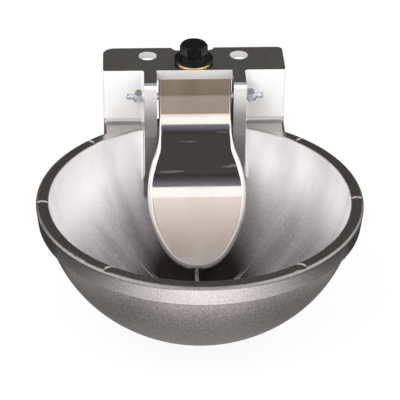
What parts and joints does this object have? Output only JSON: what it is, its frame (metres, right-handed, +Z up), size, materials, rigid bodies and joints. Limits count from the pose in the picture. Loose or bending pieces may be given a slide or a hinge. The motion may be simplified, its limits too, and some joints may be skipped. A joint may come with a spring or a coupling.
{
  "type": "animal drinking bowl",
  "caption": "Wall-mounted cast drinking bowl with a push tongue that opens a small water valve behind it.",
  "frame": {"origin": "centre between the two bracket bolt holes, on the top face of the bracket plate", "axes": "+Z up, +Y towards the wall or post, the bowl lies towards -Y, X along the line of the bolt holes"},
  "size_m": [0.261, 0.2965, 0.1818],
  "materials": {
    "cast_aluminium": "satin cast and ground",
    "polished_steel": "polished",
    "zinc_steel": "zinc plated",
    "spring_steel": "bright wire",
    "brass": "turned",
    "black_plastic": "satin",
    "guide_plastic": "satin",
    "rubber": "matt"
  },
  "bodies": {
    "bowl": {"bowl_casting": "cast_aluminium", "axle": "zinc_steel", "axle_nut_left": "zinc_steel", "axle_nut_right": "zinc_steel", "lug_bush_left": "guide_plastic", "lug_bush_right": "guide_plastic", "valve_body": "brass", "retaining_ring": "spring_steel", "outlet_nozzle": "brass", "nozzle_washer": "guide_plastic", "valve_seat": "brass", "stem_guide": "guide_plastic", "valve_spring": "spring_steel"},
    "tongue": {"tongue_plate": "polished_steel", "pivot_sleeve": "zinc_steel"},
    "stem": {"valve_stem": "spring_steel", "seal_disc": "rubber", "disc_holder": "brass"},
    "plug": {"closing_plug": "black_plastic", "plug_seal": "rubber"}
  },
  "joints": [
    {"name": "tongue_swing", "type": "hinge", "parent": "bowl", "child": "tongue", "pos_m": [0, -0.039, -0.018], "axis": [1, 0, 0], "range_deg": [0, 7]},
    {"name": "stem_push", "type": "slide", "parent": "bowl", "child": "stem", "axis": [0, 1, 0], "range_m": [0, 0.0023], "stiffness_N_per_m": 1200, "springref_m": -0.006, "deforming": ["valve_spring"]},
    {"name": "plug_lift", "type": "slide", "parent": "bowl", "child": "plug", "axis": [0, 0, 1], "range_m": [0, 0.03]}
  ],
  "couplings": [
    {"joint": "stem_push", "follows": "tongue_swing", "m_per_rad": 0.018}
  ]
}
